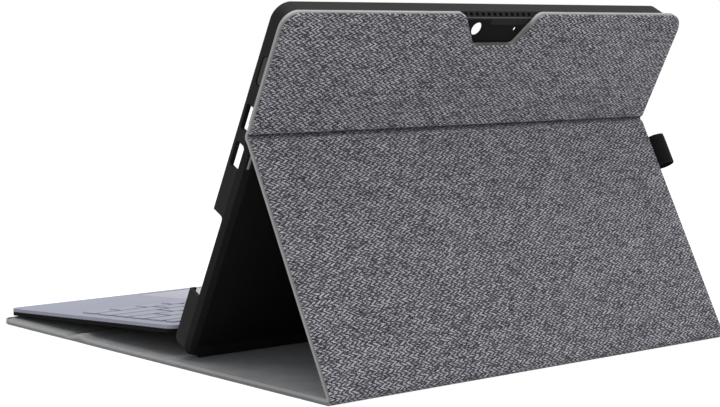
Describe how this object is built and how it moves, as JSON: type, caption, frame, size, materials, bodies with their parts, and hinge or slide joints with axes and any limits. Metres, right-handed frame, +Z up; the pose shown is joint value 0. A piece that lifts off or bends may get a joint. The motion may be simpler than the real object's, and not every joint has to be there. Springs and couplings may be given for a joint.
{
  "type": "tablet keyboard case",
  "caption": "Folding fabric cover that stands as an A-frame and holds a snap-in tablet tray, with a detachable keyboard docked at the lower lip.",
  "frame": {"origin": "on the surface that the cover lies on, at mid width, below the line where the tray's back face meets the cover", "axes": "+Z up; +X along the width, towards the side with the ports; -Y towards the user, the keyboard and the cover's front edge"},
  "size_m": [0.3124, 0.3383, 0.1984],
  "materials": {
    "outer_fabric": "two-tone grey herringbone weave",
    "board": "pressed fibre board",
    "lining": "brushed microfibre",
    "backing": "smooth synthetic leather",
    "elastic": "ribbed elastic",
    "tray_plastic": "fine matt texture",
    "button_rubber": "matt",
    "steel": "plain",
    "magnet": "nickel plated",
    "dock_fabric": "smooth coated fabric",
    "gold": "gold plated",
    "keyboard_base_skin": "fine matt coat",
    "keyboard_deck_skin": "lavender grey soft touch",
    "key_plastic": "lavender grey, fine matt",
    "touchpad_glass": "satin",
    "switch_film": "film",
    "circuit": "solder mask"
  },
  "bodies": {
    "front_cover": {"front_cover_fabric": "outer_fabric", "front_cover_board": "board", "front_cover_lining": "lining", "foot_strips": "steel"},
    "closure_flap": {"closure_flap_fabric": "outer_fabric", "closure_flap_board": "board", "closure_flap_lining": "lining", "flap_magnets": "magnet"},
    "spine": {"spine_fabric": "outer_fabric", "spine_board": "board", "spine_lining": "lining"},
    "stand": {"stand_fabric": "outer_fabric", "stand_board": "board", "stand_lining": "lining", "pen_loop": "elastic"},
    "tray": {"tray_frame": "tray_plastic", "tray_back_plate": "tray_plastic", "camera_plate": "tray_plastic", "backing_sheet": "backing", "upper_board": "board", "upper_fabric": "outer_fabric", "upper_magnets": "magnet", "dock_plates": "steel", "foot_magnets": "magnet"},
    "power_button": {"power_button_pad": "button_rubber"},
    "volume_button": {"volume_button_pad": "button_rubber"},
    "dock": {"dock_strip": "dock_fabric", "dock_magnets": "magnet", "contact_pins": "gold"},
    "keyboard": {"hinge_roll": "dock_fabric", "keyboard_base": "keyboard_base_skin", "keyboard_deck": "keyboard_deck_skin", "keyboard_back_plate": "steel", "switch_sheet": "switch_film", "circuit_board": "circuit", "touchpad_switch_plate": "steel"},
    "touchpad": {"touchpad": "touchpad_glass"},
    "space_bar": {"space_bar": "key_plastic"},
    "keys_function": {"key_row_function": "key_plastic"},
    "keys_number": {"key_row_number": "key_plastic"},
    "keys_upper": {"key_row_upper": "key_plastic"},
    "keys_home": {"key_row_home": "key_plastic"},
    "keys_lower": {"key_row_lower": "key_plastic"},
    "keys_bottom": {"key_row_bottom": "key_plastic"}
  },
  "joints": [
    {"name": "spine_bend", "type": "hinge", "parent": "front_cover", "child": "spine", "pos_m": [0, 0.10958, 0.0018], "axis": [1, 0, 0], "range_deg": [-60, 0]},
    {"name": "flap_bend", "type": "hinge", "parent": "front_cover", "child": "closure_flap", "pos_m": [0, -0.11242, 0.0018], "axis": [-1, 0, 0], "range_deg": [-60, 0]},
    {"name": "stand_fold", "type": "hinge", "parent": "spine", "child": "stand", "pos_m": [0, 0.13158, 0.0036], "axis": [-1, 0, 0], "range_deg": [-13, 27.4]},
    {"name": "tray_crease", "type": "hinge", "parent": "stand", "child": "tray", "pos_m": [0, 0.06579, 0.12944], "axis": [1, 0, 0], "range_deg": [-26.2, 55]},
    {"name": "keyboard_undock", "type": "slide", "parent": "tray", "child": "dock", "axis": [0, -0.8862, 0.4633], "range_m": [0, 0.22]},
    {"name": "keyboard_level", "type": "hinge", "parent": "dock", "child": "keyboard", "pos_m": [0, -0.01075, 0.01735], "axis": [-1, 0, 0], "range_deg": [-14.02, 29.33]},
    {"name": "keys_function_press", "type": "slide", "parent": "keyboard", "child": "keys_function", "axis": [0, 0.0645, -0.9979], "range_m": [0, 0.0012], "stiffness_N_per_m": 400, "springref_m": -0.0006},
    {"name": "keys_number_press", "type": "slide", "parent": "keyboard", "child": "keys_number", "axis": [0, 0.0645, -0.9979], "range_m": [0, 0.0012], "stiffness_N_per_m": 400, "springref_m": -0.0006},
    {"name": "keys_upper_press", "type": "slide", "parent": "keyboard", "child": "keys_upper", "axis": [0, 0.0645, -0.9979], "range_m": [0, 0.0012], "stiffness_N_per_m": 400, "springref_m": -0.0006},
    {"name": "keys_home_press", "type": "slide", "parent": "keyboard", "child": "keys_home", "axis": [0, 0.0645, -0.9979], "range_m": [0, 0.0012], "stiffness_N_per_m": 400, "springref_m": -0.0006},
    {"name": "keys_lower_press", "type": "slide", "parent": "keyboard", "child": "keys_lower", "axis": [0, 0.0645, -0.9979], "range_m": [0, 0.0012], "stiffness_N_per_m": 400, "springref_m": -0.0006},
    {"name": "keys_bottom_press", "type": "slide", "parent": "keyboard", "child": "keys_bottom", "axis": [0, 0.0645, -0.9979], "range_m": [0, 0.0012], "stiffness_N_per_m": 400, "springref_m": -0.0006},
    {"name": "space_bar_press", "type": "slide", "parent": "keyboard", "child": "space_bar", "axis": [0, 0.0645, -0.9979], "range_m": [0, 0.0012], "stiffness_N_per_m": 300, "springref_m": -0.0006},
    {"name": "touchpad_press", "type": "slide", "parent": "keyboard", "child": "touchpad", "axis": [0, 0.0645, -0.9979], "range_m": [0, 0.0003], "stiffness_N_per_m": 1500, "springref_m": -0.0003},
    {"name": "power_button_press", "type": "slide", "parent": "tray", "child": "power_button", "axis": [-1, 0, 0], "range_m": [0, 0.0005], "stiffness_N_per_m": 2000, "springref_m": -0.0003},
    {"name": "volume_button_press", "type": "slide", "parent": "tray", "child": "volume_button", "axis": [1, 0, 0], "range_m": [0, 0.0005], "stiffness_N_per_m": 2000, "springref_m": -0.0003}
  ],
  "couplings": [
    {"joint": "tray_crease", "follows": "stand_fold", "ratio": 2},
    {"joint": "keyboard_level", "follows": "stand_fold", "ratio": 1.0632}
  ]
}
